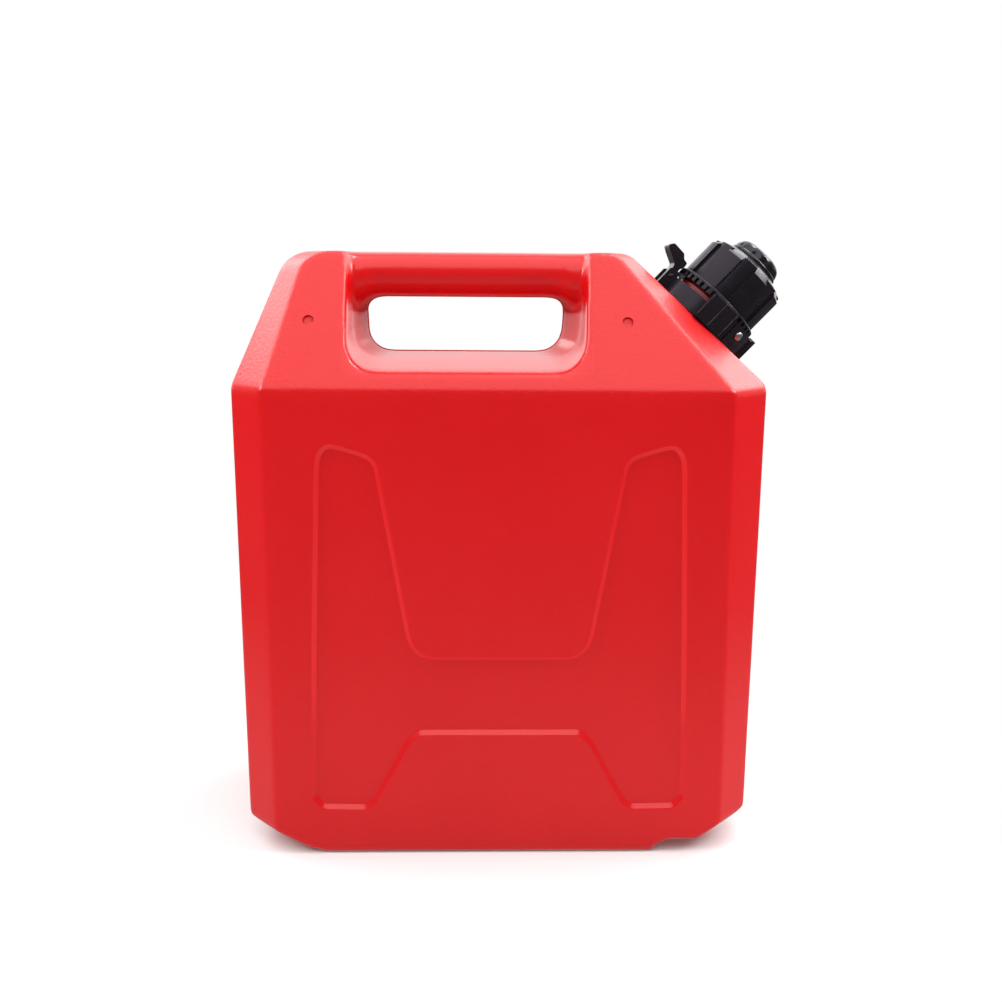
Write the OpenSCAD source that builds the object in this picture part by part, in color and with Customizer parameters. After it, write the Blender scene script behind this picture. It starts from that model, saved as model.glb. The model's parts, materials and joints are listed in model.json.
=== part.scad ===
// Petrol can: a blow-moulded tank with a sloped shoulder, a handle through its top, and a screw closure
// on a slanted neck. Millimetres, +Z up, +X towards the neck, -Y is the front, origin at the foot's centre.

/* [Tank] */
// overall width of the tank
tank_width = 300; // [296:1:306]
// overall depth of the tank
tank_depth = 138; // [134:1:144]
// height of the handle's top
tank_height = 349; // [346:1:352]
// height where the upright walls end
shoulder_height = 274; // [272:1:276]
// width of the upright corner chamfers, along X and along Y
corner_chamfer = 20; // [16:1:22]
// the same at the right shoulder, where the chamfers widen
right_top_chamfer = 26; // [20:1:28]
// rounding of the tank's edges
edge_radius = 6; // [5:0.5:7]
// thickness of the blown wall
wall = 2.4; // [2:0.1:2.8]
// half depth of the flat top
top_half_depth = 26; // [24:1:28]
// left end of the flat top
top_left = -123; // [-124:1:-118]
// rounding of the top's left end
top_left_radius = 14; // [12:1:16]
// right end of the flat top
top_right = 74.1; // [73:0.1:76]
// rounding of the top's right end
top_right_radius = 8; // [7:0.5:9]

/* [Foot] */
// height of the pad under the tank
foot_height = 2; // [1.5:0.1:3]
// left end of the pad
foot_left = -104; // [-104:1:-96]
// right end of the pad, where the finger notch starts
foot_right = 93; // [86:1:95]
// half depth of the pad
foot_half_depth = 67.5; // [60:0.5:68]
// half width of the tank's underside
underside_half = 109; // [104:1:110]
// height where the upright corner chamfers end, at the left
left_corner_low = 14.4; // [12:0.1:30]
// height where the upright corner chamfers end, at the right
right_corner_low = 18; // [14:0.1:30]
// depth of the finger notch under the right end
notch_height = 7.4; // [6:0.2:10]

/* [Face panels] */
// depth of the recessed panels in the front and the back
panel_depth = 1.8; // [0.8:0.1:2.2]

/* [Handle] */
// left end of the grip hole
grip_left = -80; // [-84:1:-76]
// right end of the grip hole
grip_right = 40; // [36:1:42]
// lower edge of the grip hole
grip_low = 292; // [290:1:294]
// upper edge of the grip hole
grip_high = 323; // [321:1:325]
// half depth of the handle's bar
bar_half_depth = 21; // [18:1:22]

/* [Neck] */
// distance of the neck's foot from the middle of the tank
neck_x = 117; // [116:0.1:118]
// height of the neck's foot
neck_z = 308.2; // [307.8:0.1:308.8]
// lean of the neck from upright, degrees
neck_tilt = 43.5; // [43:0.1:44]
// outside radius of the threaded neck
neck_radius = 22; // [21.8:0.1:22.1]
// bore of the neck
neck_bore = 19.2; // [18:0.1:19.4]
// height of the neck's rim above the slope
neck_rim = 39; // [38:0.1:39]
// radius of the boss that carries the catch ring
boss_radius = 24.6; // [24:0.1:25]
// height of the boss
boss_height = 14.2; // [12:0.1:14.2]
// radius of the flat seat for the catch ring
seat_radius = 39; // [38:0.5:42]

/* [Threads] */
// rise of the collar's thread in one turn
collar_lead = 6; // [5.6:0.2:6.4]
// rise of the cap's thread in one turn
cap_lead = 3; // [2.6:0.1:3]

/* [Catch ring] */
// outside radius of the band
band_radius = 31; // [30.5:0.1:31]
// height of the band beside the lever
band_height = 10.4; // [9:0.1:11]
// height of the band between the guard blocks and the end lug
wall_height = 15; // [12:0.1:16]
// turn of the lap's rivet from the end lug, degrees
rivet_turn = -52; // [-54:1:-48]
// height of the lap's rivet above the slope
rivet_s = 10; // [8:0.1:11]
// outer face of the guard blocks
guard_face = 33; // [32.5:0.1:34]
// height of the guard blocks
guard_height = 17.2; // [14:0.1:18]
// height of the end lug
lug_height = 16.5; // [14:0.1:17]

/* [Release lever] */
// width of the lever
lever_width = 16; // [12:1:17]
// distance of the lever's pivot from the neck's axis
pivot_r = 32.4; // [32.2:0.1:32.6]
// height of the lever's pivot above the slope
pivot_s = 8.5; // [7.5:0.1:9]
// radius of the lever's pin
pin_radius = 1.2; // [1:0.05:1.3]
// running clearance between pin and bore
pin_clearance = 0.05; // [0.02:0.01:0.1]

/* [Screw collar] */
// radius over the grip lobes
collar_radius = 27; // [26.8:0.1:27.6]
// radius at the bottom of the grip notches
collar_notch = 25.9; // [25.6:0.1:26.4]
// bore of the collar
collar_bore = 24.1; // [24:0.1:24.4]
// underside of the collar
collar_low = 14.6; // [14.5:0.1:15]
// top of the collar
collar_top = 47.5; // [47:0.1:47.5]
// radius over the ratchet teeth and their rim
tooth_radius = 29; // [28.6:0.1:29]
// number of ratchet teeth
tooth_count = 40; // [30:1:48]
// number of grip lobes
lobe_count = 8; // [6:1:10]
// radius of the collar's mouth
mouth_radius = 15.8; // [14:0.1:16]

/* [Spout and cap] */
// length of the stored tube below the neck's rim
tube_length = 190; // [150:5:200]
// outside radius of the tube's far end
tube_tip = 10.5; // [10:0.1:12]
// outside radius of the outlet stub
stub_radius = 12.2; // [12:0.1:12.2]
// top of the outlet stub
stub_top = 52.9; // [52.4:0.1:52.9]
// outside radius of the outlet cap
cap_radius = 15.3; // [15.2:0.1:15.8]
// top of the outlet cap
cap_top = 56.4; // [56:0.1:57.4]

/* [Build] */

/* [Hidden] */
$fn = 96;
// top of the gasket, where the spout's flange sits
flange_low = neck_rim + 1.6;
// thickness of the spout's flange
flange_thick = 2.4;
// gap between the catch ring and its seat
seat_gap = 0.05;
// start of both halves of the collar's thread above the slope
collar_thread_low = 20;
// start of both halves of the cap's thread
cap_thread_low = 47.6;

// Outline with every corner rounded off, starting `reach` before the corner.
function softened(outline, reach, steps = 5) = [
    for (i = [0 : len(outline) - 1])
        let (
            p = outline[i],
            a = outline[(i + len(outline) - 1) % len(outline)] - p,
            b = outline[(i + 1) % len(outline)] - p,
            u = p + a / norm(a) * min(reach, norm(a) * 0.45),
            v = p + b / norm(b) * min(reach, norm(b) * 0.45)
        )
        for (k = [0 : steps]) let (q = k / steps)
            u * (1 - q) * (1 - q) + p * 2 * q * (1 - q) + v * q * q
];

function frame(left, right, low, high) = [[left, low], [right, low], [right, high], [left, high]];

// Upright plate: a drawing in X and Z, from y to y + thick.
module upright(y, thick) {
    translate([0, y + thick, 0]) rotate([90, 0, 0]) linear_extrude(thick) children();
}

// Puts children on the neck: Z along the neck's axis, from the slope outwards, X down the slope.
module on_neck() {
    translate([neck_x, 0, neck_z]) rotate([0, neck_tilt, 0]) children();
}

// Cross-section in -X (radius) and Z of the closure, given a width along Y.
module lever_side(width) {
    translate([0, width / 2, 0]) rotate([90, 0, 0]) linear_extrude(width) mirror([1, 0]) children();
}

// Helical ridge between two radii, right handed, with ends that run out into the wall.
module thread_ridge(base, crest, lead, turns, from, root_width, crest_width, ahead = 0, steps = 24) {
    n = round(turns * steps);
    points = [
        for (i = [0 : n])
            let (
                a = ahead + 360 * i / steps, z = from + lead * a / 360,
                full = min(1, (i + 1) / 6, (n - i + 1) / 6),
                c = base + (crest - base) * full
            )
            for (p = [[base, -root_width], [c, -crest_width], [c, crest_width], [base, root_width]])
                [p[0] * cos(a), p[0] * sin(a), z + p[1] / 2]
    ];
    sides = [
        for (i = [0 : n - 1], k = [0 : 3])
            let (a = 4 * i + k, b = 4 * i + (k + 1) % 4)
            each [[a, b, b + 4], [a, b + 4, a + 4]]
    ];
    ends = [[0, 2, 1], [0, 3, 2], [4 * n, 4 * n + 1, 4 * n + 2], [4 * n, 4 * n + 2, 4 * n + 3]];
    faces = concat(sides, ends);
    polyhedron(points, crest > base ? faces : [for (f = faces) [f[0], f[2], f[1]]], convexity = 6);
}

// Solid shape of the tank, `skin` inside its outer face.
module tank_form(skin, facets) {
    r = edge_radius;
    end = tank_width / 2 - r;
    side = tank_depth / 2 - r;
    reach = tank_width / 2 + tank_depth / 2 - corner_chamfer - r * sqrt(2);
    right_reach = reach + corner_chamfer - right_top_chamfer;
    under = underside_half - 0.31 * r;
    low = foot_height + r;
    left_end_low = left_corner_low + 0.55 * r;
    right_end_low = right_corner_low + 0.55 * r;
    front_lean = (tank_depth / 2 - top_half_depth) / (tank_height - shoulder_height);
    left_low = tank_height - top_left_radius;
    right_low = tank_height - top_right_radius;
    left_half = top_half_depth + top_left_radius * (front_lean - sqrt(1 + front_lean * front_lean));
    right_half = top_half_depth + top_right_radius * (front_lean - sqrt(1 + front_lean * front_lean));
    corners = [
        [under, side, low], [-under, side, low],
        [reach - side, side, right_end_low], [side - reach, side, left_end_low],
        [end, reach - end, right_end_low], [-end, reach - end, left_end_low],
        [right_reach - side, side, shoulder_height - 1.6], [side - reach, side, shoulder_height - 1.6],
        [end, right_reach - end, shoulder_height + 0.6], [-end, reach - end, shoulder_height - 1.1]
    ];
    hull() {
        for (p = corners, m = [-1, 1])
            translate([p[0], m * p[1], p[2]]) sphere(r - skin, $fn = facets);
        for (p = [[top_left + 9.7, left_half - 8], [top_left + 19, left_half]], m = [-1, 1])
            translate([p[0], m * p[1], left_low]) sphere(top_left_radius - skin, $fn = facets);
        for (p = [[top_right - 3.2, right_half - 7], [top_right - 9, right_half]], m = [-1, 1])
            translate([p[0], m * p[1], right_low]) sphere(top_right_radius - skin, $fn = facets);
    }
}

// Drafted space, open at the top, from the middle of the tank out to its front and back, `skin` larger.
module handle_dishes(skin) {
    for (m = [0, 1]) mirror([0, m, 0]) hull() {
        upright(-0.1, 0.2)
            polygon(softened(frame(grip_left - skin, grip_right + skin, grip_low - skin,
                tank_height + 10 + skin), 13));
        upright(-tank_depth / 2 - 2, 0.1)
            polygon(softened(frame(grip_left - 9.5 - skin, grip_right + 8 + skin, grip_low - 10 - skin,
                tank_height + 10 + skin), 20));
    }
}

// Rounded bar of the handle, `skin` inside its outer face.
module handle_bar(skin) {
    translate([grip_left - 14, 0, 0]) rotate([90, 0, 90]) linear_extrude(grip_right - grip_left + 26)
        polygon(softened(frame(skin - bar_half_depth, bar_half_depth - skin, grip_high + skin,
            tank_height - skin), 12, 7));
}

// Finger notch under the right end.
module finger_notch(skin) {
    upright(-tank_depth, 2 * tank_depth)
        polygon([[foot_right - skin, -1], [foot_right - skin, foot_height],
            [foot_right + 9 - skin, notch_height + skin], [tank_width, notch_height + skin],
            [tank_width, -1]]);
}

// Recessed field of the faces: two columns, joined by a band across the middle.
module face_panel() {
    half = [
        [46, 74.7], [52, 69.2], [72, 31.5], [78, 27.7], [103.2, 28.2], [109.9, 35.5], [106.9, 133],
        [102.2, 237.5], [95.8, 245.5], [72.5, 239.5], [68.3, 233], [52, 132], [44, 122.9]
    ];
    whole = concat(half, [for (i = [len(half) - 1 : -1 : 0]) [-half[i][0], half[i][1]]]);
    polygon(softened(whole, 5, 4));
}

// One shell: body, handle, foot, boss and threaded neck.
module tank_body() color([0.72, 0.02, 0.025]) {
    difference() {
        union() {
            difference() {
                union() {
                    tank_form(0, 24);
                    translate([foot_left, -foot_half_depth, 0])
                        cube([foot_right - foot_left, 2 * foot_half_depth, 2 * (foot_height + 2)]);
                }
                handle_dishes(0);
                finger_notch(0);
                for (m = [0, 1]) mirror([0, m, 0])
                    upright(-tank_depth / 2 - 1, 1 + panel_depth) face_panel();
                on_neck() translate([0, 0, -seat_gap]) cylinder(r = seat_radius, h = 12);
            }
            handle_bar(0);
            on_neck() {
                translate([0, 0, -1.5]) cylinder(r = boss_radius, h = boss_height + 1.5);
                translate([0, 0, -1.5]) cylinder(r = neck_radius, h = neck_rim + 1.5);
                thread_ridge(neck_radius - 0.6, neck_radius + 1.6, collar_lead, 2.2,
                    collar_thread_low, 2.4, 1);
            }
        }
        difference() {
            tank_form(wall, 16);
            handle_dishes(wall);
            finger_notch(wall);
            for (m = [0, 1]) mirror([0, m, 0]) upright(-tank_depth / 2 - 1, 1 + panel_depth + wall)
                offset(delta = wall) face_panel();
        }
        handle_bar(wall);
        on_neck() translate([0, 0, -9]) cylinder(r = neck_bore, h = neck_rim + 20);
    }
}

// Black band with guard blocks, an end lug, the lever's ears and a lapped, riveted joint.
module catch_ring() color([0.03, 0.03, 0.033]) on_neck() {
    difference() {
        union() {
            cylinder(r = band_radius, h = band_height);
            intersection() {
                cylinder(r = band_radius, h = wall_height);
                translate([9, -40, 0]) cube([40, 80, 40]);
            }
            for (m = [0, 1]) mirror([0, m, 0]) linear_extrude(guard_height)
                polygon([[-9.2, 24], [9.2, 24], [9.2, guard_face - 0.9], [0, guard_face],
                    [-9.2, guard_face - 0.9]]);
            translate([26, -10.5, 0]) cube([6.4, 21, lug_height]);
            for (m = [-1, 1]) translate([0, m * 10.8, 0]) lever_side(3.2)
                polygon(softened([[26, 0], [35.6, 0], [35.6, 13], [29.5, 13], [28.6, band_height],
                    [26, band_height]], 3));
        }
        translate([0, 0, -1]) cylinder(r = boss_radius + 0.4, h = 40);
        translate([0, 0, band_height]) cylinder(r = tooth_radius + 0.6, h = 40);
        lever_side(18.4) polygon(frame(28.2, 40, -1, 40));
        translate([-pivot_r, 0, pivot_s]) rotate([90, 0, 0])
            cylinder(r = pin_radius + pin_clearance, h = 40, center = true, $fn = 48);
        rotate(rivet_turn) {
            translate([20, 0, rivet_s]) rotate([0, 90, 0]) cylinder(r = 1.55, h = 20, $fn = 48);
            rotate(-14) translate([28, -0.4, -1]) cube([6, 0.8, 40]);
            rotate(14) translate([22, -0.4, -1]) cube([6, 0.8, 40]);
            rotate(-15) translate([0, 0, -1]) rotate_extrude(angle = 30)
                translate([27.9, 0]) square([0.3, 40]);
        }
    }
}

// Round-headed steel rivet through the band's lap.
module ring_rivet() color([0.62, 0.62, 0.6]) on_neck() rotate(rivet_turn)
    translate([0, 0, rivet_s]) rotate([0, 90, 0]) rotate_extrude($fn = 48)
        polygon([[0, 29.8], [1.5, 29.8], [1.5, 31.05], [2.7, 31.05], [2.5, 31.8], [1.7, 32.4],
            [0.8, 32.65], [0, 32.7]]);

// Thumb lever: foot, pivot wall, pawl edge at the teeth and an outward tab.
module release_lever() color([0.03, 0.03, 0.033]) on_neck() difference() {
    lever_side(lever_width) polygon(concat(
        [[30.4, 2.2], [34.3, 2.2], [34.5, 15.1]],
        softened([[42, 18.7], [45.3, 20.7], [43.2, 23.8], [35, 23.5]], 1.5),
        [[32.7, 21.2], [29.9, 20.8], [29.4, 18.8], [29.4, 17.2], [30.4, 15.6]]));
    translate([-pivot_r, 0, pivot_s]) rotate([90, 0, 0])
        cylinder(r = pin_radius + pin_clearance, h = 40, center = true, $fn = 48);
}

// Plain steel pin through both ears.
module lever_pin() color([0.62, 0.62, 0.6]) on_neck()
    translate([-pivot_r, 0, pivot_s]) rotate([90, 0, 0])
        cylinder(r = pin_radius, h = 25.6, center = true, $fn = 48);

// Bent steel leaf between the band and the lever's foot.
module lever_spring() color([0.55, 0.55, 0.53]) on_neck() lever_side(9)
    polygon([[28.25, 0.9], [28.75, 0.9], [28.75, 8.2], [30.0, 3.0], [30.3, 3.1], [29.05, 9.2],
        [28.25, 9.2]]);

// Nut with grip lobes, ratchet rim, inside thread and a mouth for the outlet.
module screw_collar() color([0.035, 0.034, 0.037]) on_neck() {
    step = 360 / lobe_count;
    tooth_tip = tooth_radius - 0.3;
    skirt = flange_low + flange_thick + 0.1;
    difference() {
        union() {
            rotate_extrude() polygon([
                [0, 17.6], [tooth_radius, 17.6], [tooth_radius, 19.8], [tooth_radius - 0.8, 20.5],
                [collar_radius, 20.9], [collar_radius, 38.5], [26, 41.2], [24, 43.7], [21.5, 45.4],
                [19.5, 46.6], [17.2, collar_top], [0, collar_top]
            ]);
            translate([0, 0, collar_low]) linear_extrude(3.2) polygon([
                for (i = [0 : tooth_count - 1],
                    p = [[0, 26.6], [0.2, tooth_tip], [0.6, tooth_tip], [0.8, 26.6]])
                    let (a = (i + p[0]) * 360 / tooth_count) [p[1] * cos(a), p[1] * sin(a)]
            ]);
        }
        for (i = [0 : lobe_count - 1]) rotate((i + 0.25) * step)
            translate([0, 0, 21.6]) linear_extrude(19.4) polygon(concat(
                [for (k = [0 : 6]) let (a = step / 2 * k / 6) collar_notch * [cos(a), sin(a)]],
                [for (k = [6 : -1 : 0]) let (a = step / 2 * k / 6) 32 * [cos(a), sin(a)]]));
        translate([0, 0, collar_low - 1]) cylinder(r = collar_bore, h = skirt - collar_low + 1);
        cylinder(r = mouth_radius, h = 60);
    }
    thread_ridge(collar_bore + 0.6, neck_radius + 0.6, collar_lead, 1.6,
        collar_thread_low + collar_lead / 2, 2.4, 1, ahead = 11);
}

// Rubber ring on the neck's rim.
module flange_gasket() color([0.05, 0.05, 0.05]) on_neck() translate([0, 0, neck_rim]) difference() {
    cylinder(r = neck_radius, h = flange_low - neck_rim);
    translate([0, 0, -1]) cylinder(r = neck_bore + 0.2, h = 4);
}

// Pouring tube stored inside the can, with its flange under the collar and its threaded stub above it.
module pour_spout() color([0.04, 0.04, 0.042]) on_neck() {
    tip = neck_rim - tube_length;
    flange_top = flange_low + flange_thick;
    rotate_extrude() polygon([
        [9.6, stub_top], [stub_radius, stub_top], [stub_radius, flange_top],
        [collar_bore - 0.7, flange_top], [collar_bore - 0.7, flange_low], [17, flange_low],
        [14.2, flange_low - 6], [13.4, 10], [12.6, 10], [tube_tip, tip],
        [tube_tip - 1.7, tip], [10.8, 10], [9.6, flange_low - 8]
    ]);
    thread_ridge(stub_radius - 0.5, stub_radius + 0.9, cap_lead, 1.2, cap_thread_low, 1.2, 0.6);
}

// Small glossy cap with a base flange, a chamfered crown and grip flutes.
module outlet_cap() color([0.02, 0.02, 0.022]) on_neck() {
    flutes = 16;
    difference() {
        rotate_extrude() polygon([
            [0, 47.8], [16.4, 47.8], [16.4, 49.2], [15.9, 49.7], [cap_radius, 49.9],
            [cap_radius, cap_top - 3.6],
            [cap_radius - 0.9, cap_top - 2], [cap_radius - 2.6, cap_top - 0.9],
            [9, cap_top - 0.2], [2, cap_top], [0, cap_top]
        ]);
        translate([0, 0, 40]) cylinder(r = stub_radius + 1.4, h = 14.5);
        for (i = [0 : flutes - 1]) rotate((i + 0.5) * 360 / flutes)
            translate([cap_radius + 1.9, 0, 50.3]) cylinder(r = 2.3, h = 3.2, $fn = 24);
    }
    thread_ridge(stub_radius + 1.9, stub_radius + 0.4, cap_lead, 0.9,
        cap_thread_low + cap_lead / 2, 1.2, 0.6, ahead = 11);
}

// Sealing disc between the stub and the cap's crown.
module cap_liner() color([0.85, 0.85, 0.82]) on_neck() translate([0, 0, stub_top])
    cylinder(r = stub_radius + 0.7, h = 1.5);

tank_body();
catch_ring();
ring_rivet();
release_lever();
lever_pin();
lever_spring();
screw_collar();
flange_gasket();
pour_spout();
outlet_cap();
cap_liner();
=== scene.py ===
import json
from math import cos, pi, radians, sin

import bpy
from mathutils import Matrix, Vector

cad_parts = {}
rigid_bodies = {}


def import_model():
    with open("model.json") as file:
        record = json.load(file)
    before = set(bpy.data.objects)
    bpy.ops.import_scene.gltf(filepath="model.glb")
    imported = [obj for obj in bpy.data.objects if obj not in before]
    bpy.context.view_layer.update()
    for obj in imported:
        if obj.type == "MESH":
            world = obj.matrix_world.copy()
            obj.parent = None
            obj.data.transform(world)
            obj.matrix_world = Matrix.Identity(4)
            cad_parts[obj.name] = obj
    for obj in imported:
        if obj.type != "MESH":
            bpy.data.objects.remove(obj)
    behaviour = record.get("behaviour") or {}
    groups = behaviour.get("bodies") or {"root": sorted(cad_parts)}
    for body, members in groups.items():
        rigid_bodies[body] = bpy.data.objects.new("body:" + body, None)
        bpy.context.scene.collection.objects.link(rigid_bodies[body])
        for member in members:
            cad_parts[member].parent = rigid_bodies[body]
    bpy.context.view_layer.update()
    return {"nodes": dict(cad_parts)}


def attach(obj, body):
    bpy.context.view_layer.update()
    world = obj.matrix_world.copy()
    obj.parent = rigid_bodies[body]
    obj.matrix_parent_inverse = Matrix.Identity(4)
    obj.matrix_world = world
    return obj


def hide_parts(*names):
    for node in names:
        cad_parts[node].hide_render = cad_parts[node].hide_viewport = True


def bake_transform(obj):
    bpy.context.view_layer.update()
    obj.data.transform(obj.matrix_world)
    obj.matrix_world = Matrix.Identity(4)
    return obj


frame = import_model()

# Camera: it stands 0.6 m in front of the can's middle, a little above its shoulder and nearly square to
# its front, with a lens whose field is as wide as the subject is far.
STANDPOINT = (-0.0113, -0.6089, 0.3263)
YAW, PITCH, ROLL = radians(1.201), radians(11.783), radians(0.424)
SENSOR_WIDTH, FOCAL_PIXELS, PHOTO_PIXELS = 36, 1000, 1002
ahead = Vector((sin(YAW) * cos(PITCH), cos(YAW) * cos(PITCH), -sin(PITCH)))
level = Vector((cos(YAW), -sin(YAW), 0))
over = level.cross(ahead)
right = level * cos(ROLL) + over * sin(ROLL)
upward = over * cos(ROLL) - level * sin(ROLL)
bpy.ops.object.select_all(action="DESELECT")
bpy.ops.object.camera_add(location=STANDPOINT)
camera = bpy.context.object
camera.rotation_euler = Matrix((right, upward, -ahead)).transposed().to_euler()
camera.data.sensor_width = SENSOR_WIDTH
camera.data.lens = SENSOR_WIDTH * FOCAL_PIXELS / PHOTO_PIXELS
camera.data.clip_start = 0.01
bpy.context.scene.camera = camera
bpy.context.scene.view_settings.view_transform = "Standard"


# Studio: the can stands on white paper in a white room, lit by soft boxes. Paper and room stay white to
# the camera, and the paper keeps the soft shadow under the can.
class Tone:
    """One value in a node tree. Arithmetic on it adds Math nodes, and node() adds any other."""

    def __init__(self, tree, socket):
        self.tree, self.socket = tree, socket

    def node(self, kind, sockets, settings=None, out=0):
        made = self.tree.nodes.new(kind)
        for name, value in (settings or {}).items():
            setattr(made, name, value)
        for key, value in sockets.items():
            if isinstance(value, Tone):
                self.tree.links.new(value.socket, made.inputs[key])
            else:
                made.inputs[key].default_value = value
        return Tone(self.tree, made.outputs[out])

    def math(self, operation, first, second):
        return self.node("ShaderNodeMath", {0: first, 1: second}, {"operation": operation})

    def __add__(self, other):
        return self.math("ADD", self, other)

    def __sub__(self, other):
        return self.math("SUBTRACT", self, other)

    def __mul__(self, other):
        return self.math("MULTIPLY", self, other)

    def __rsub__(self, other):
        return self.math("SUBTRACT", other, self)

    def __gt__(self, other):
        return self.math("GREATER_THAN", self, other)

    __radd__, __rmul__ = __add__, __mul__

    def ramp(self, low, high, to_low=0.0, to_high=1.0):
        """A soft step from to_low to to_high as this value goes from low to high."""
        return self.node("ShaderNodeMapRange", {"Value": self, "From Min": low, "From Max": high,
                                                "To Min": to_low, "To Max": to_high},
                         {"interpolation_type": "SMOOTHSTEP"})

    def blend(self, zero, one):
        """The colour zero where this value is 0, and one where it is 1."""
        return self.node("ShaderNodeMix", {0: self, 6: zero, 7: one}, {"data_type": "RGBA"}, out=2)


def light_path(tree, *kinds):
    """1 on rays of the given kinds, such as Camera, and 0 on all others."""
    path = tree.nodes.new("ShaderNodeLightPath")
    rays = [Tone(tree, path.outputs["Is %s Ray" % kind]) for kind in kinds]
    whole = rays[0]
    for ray in rays[1:]:
        whole = whole.math("MAXIMUM", whole, ray)
    return whole


# the room: gloss mirrors it darker in front of the can than behind it
ROOM_LIGHT, DARK_FRONT, BRIGHT_BACK = 0.17, 0.15, 1.5
world = bpy.data.worlds.new("white_room")
world.use_nodes = True
bpy.context.scene.world = world
tree = world.node_tree
gaze = Tone(tree, tree.nodes.new("ShaderNodeTexCoord").outputs["Generated"])
away = gaze.node("ShaderNodeSeparateXYZ", {0: gaze}, out=1)
in_gloss = away.ramp(0.05, 0.65, DARK_FRONT, BRIGHT_BACK)
seen, gloss = light_path(tree, "Camera", "Transmission"), light_path(tree, "Glossy")
strength = seen + (1 - seen) * (gloss * in_gloss + (1 - gloss) * ROOM_LIGHT)
backdrop = tree.nodes["Background"]
backdrop.inputs["Color"].default_value = (1, 1, 1, 1)
tree.links.new(strength.socket, backdrop.inputs["Strength"])

# the paper: shaded close round the can, pure white further out, and darker in gloss with distance
PAPER_SIZE, PAPER_LEVEL, PAPER_COLOUR = 30, -0.0003, (0.82, 0.82, 0.82, 1)
CAN_HALF_PLAN, SHADOW_REACH = (0.12, 0.055, 0), 0.2
NEAR_GLOSS, FAR_GLOSS = 0.45, 0.12
bpy.ops.mesh.primitive_plane_add(size=PAPER_SIZE, location=(0, 0, PAPER_LEVEL))
paper = bpy.context.object
paper.name = "paper"
paper_white = bpy.data.materials.new("paper_white")
paper_white.use_nodes = True
tree = paper_white.node_tree
paper_shader = tree.nodes["Principled BSDF"]
paper_shader.inputs["Base Color"].default_value = PAPER_COLOUR
paper_shader.inputs["Roughness"].default_value = 0.9
paper_shader.inputs["Specular IOR Level"].default_value = 0.1
white_light = tree.nodes.new("ShaderNodeEmission")
share = tree.nodes.new("ShaderNodeMixShader")
spot = Tone(tree, tree.nodes.new("ShaderNodeTexCoord").outputs["Object"])
from_middle = spot.node("ShaderNodeVectorMath", {0: spot}, {"operation": "ABSOLUTE"})
past_can = spot.node("ShaderNodeVectorMath", {0: from_middle, 1: CAN_HALF_PLAN},
                     {"operation": "SUBTRACT"})
past_can = spot.node("ShaderNodeVectorMath", {0: past_can, 1: (0, 0, 0)}, {"operation": "MAXIMUM"})
out_from_can = spot.node("ShaderNodeVectorMath", {0: past_can}, {"operation": "LENGTH"}, out=1)
seen, gloss = light_path(tree, "Camera", "Transmission"), light_path(tree, "Glossy")
glow = seen * out_from_can.ramp(0, SHADOW_REACH, 0.05, 1) + gloss
in_gloss = out_from_can.ramp(0.05, 0.6, NEAR_GLOSS, FAR_GLOSS)
tree.links.new((seen + gloss * in_gloss).socket, white_light.inputs["Color"])
tree.links.new(glow.socket, share.inputs[0])
tree.links.new(paper_shader.outputs[0], share.inputs[1])
tree.links.new(white_light.outputs[0], share.inputs[2])
tree.links.new(share.outputs[0], tree.nodes["Material Output"].inputs["Surface"])
paper.data.materials.append(paper_white)


def soft_box(name, place, aim, width, height, power):
    """A rectangular lamp, with its sizes in metres and its power in watts."""
    bpy.ops.object.light_add(type="AREA", location=place)
    lamp = bpy.context.object
    lamp.name = name
    lamp.rotation_euler = (Vector(aim) - Vector(place)).to_track_quat("-Z", "Y").to_euler()
    lamp.data.shape = "RECTANGLE"
    lamp.data.size, lamp.data.size_y = width, height
    lamp.data.energy = power
    return lamp


# three large boxes light the faces, three small keys give the edges and the closure their glints, and a
# weak fill from the front shows in no gloss
soft_box("overhead_box", (0, -0.55, 1.55), (0, -0.2, 0.25), 1.9, 2.0, 24)
soft_box("left_strip", (-1.15, 0.4, 1.2), (0, 0.1, 0.3), 1.8, 0.75, 18)
soft_box("right_strip", (1.15, 0.4, 1.25), (0, 0.1, 0.3), 1.8, 0.85, 20)
soft_box("left_key", (-1.15, -0.5, 1.0), (0, 0, 0.25), 0.35, 0.35, 5)
soft_box("right_key", (1.15, -0.15, 0.98), (0.15, 0, 0.33), 0.4, 0.35, 5.5)
soft_box("top_key", (0.46, 0.29, 1.5), (0.15, 0, 0.35), 0.35, 0.35, 5)
soft_box("front_fill", (-0.2, -2.2, 0.9), (0, 0, 0.2), 1.6, 1.2, 1.5).visible_glossy = False

# Tank: one blow-moulded shell of red high-density polyethylene. The parison is closed in a two-part
# mould, so every edge is soft, the wall is a little wavy, and the sloped faces show the mould's grain.
MM = 0.001


def mm(x, y, z):
    """A place, or a length along each axis, from millimetres."""
    return Vector((x * MM, y * MM, z * MM))


HALF_LENGTH, HALF_DEPTH, CHAMFER = 151, 69.2, 20
UNDERSIDE, SHOULDER, HEIGHT = 2, 274, 349
END_LEAN, FACE_LEAN, TOE = 28, 43, 109
NECK_FOOT = mm(117, 0, 308.2)
NECK_LEAN = radians(43.5)


def pick(piece):
    """Selects one piece alone and makes it the active one."""
    bpy.ops.object.select_all(action="DESELECT")
    piece.select_set(True)
    bpy.context.view_layer.objects.active = piece


def edit(piece):
    """Goes into edit mode on one piece, with nothing selected."""
    pick(piece)
    bpy.ops.object.mode_set(mode="EDIT")
    bpy.ops.mesh.select_all(action="DESELECT")


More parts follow.
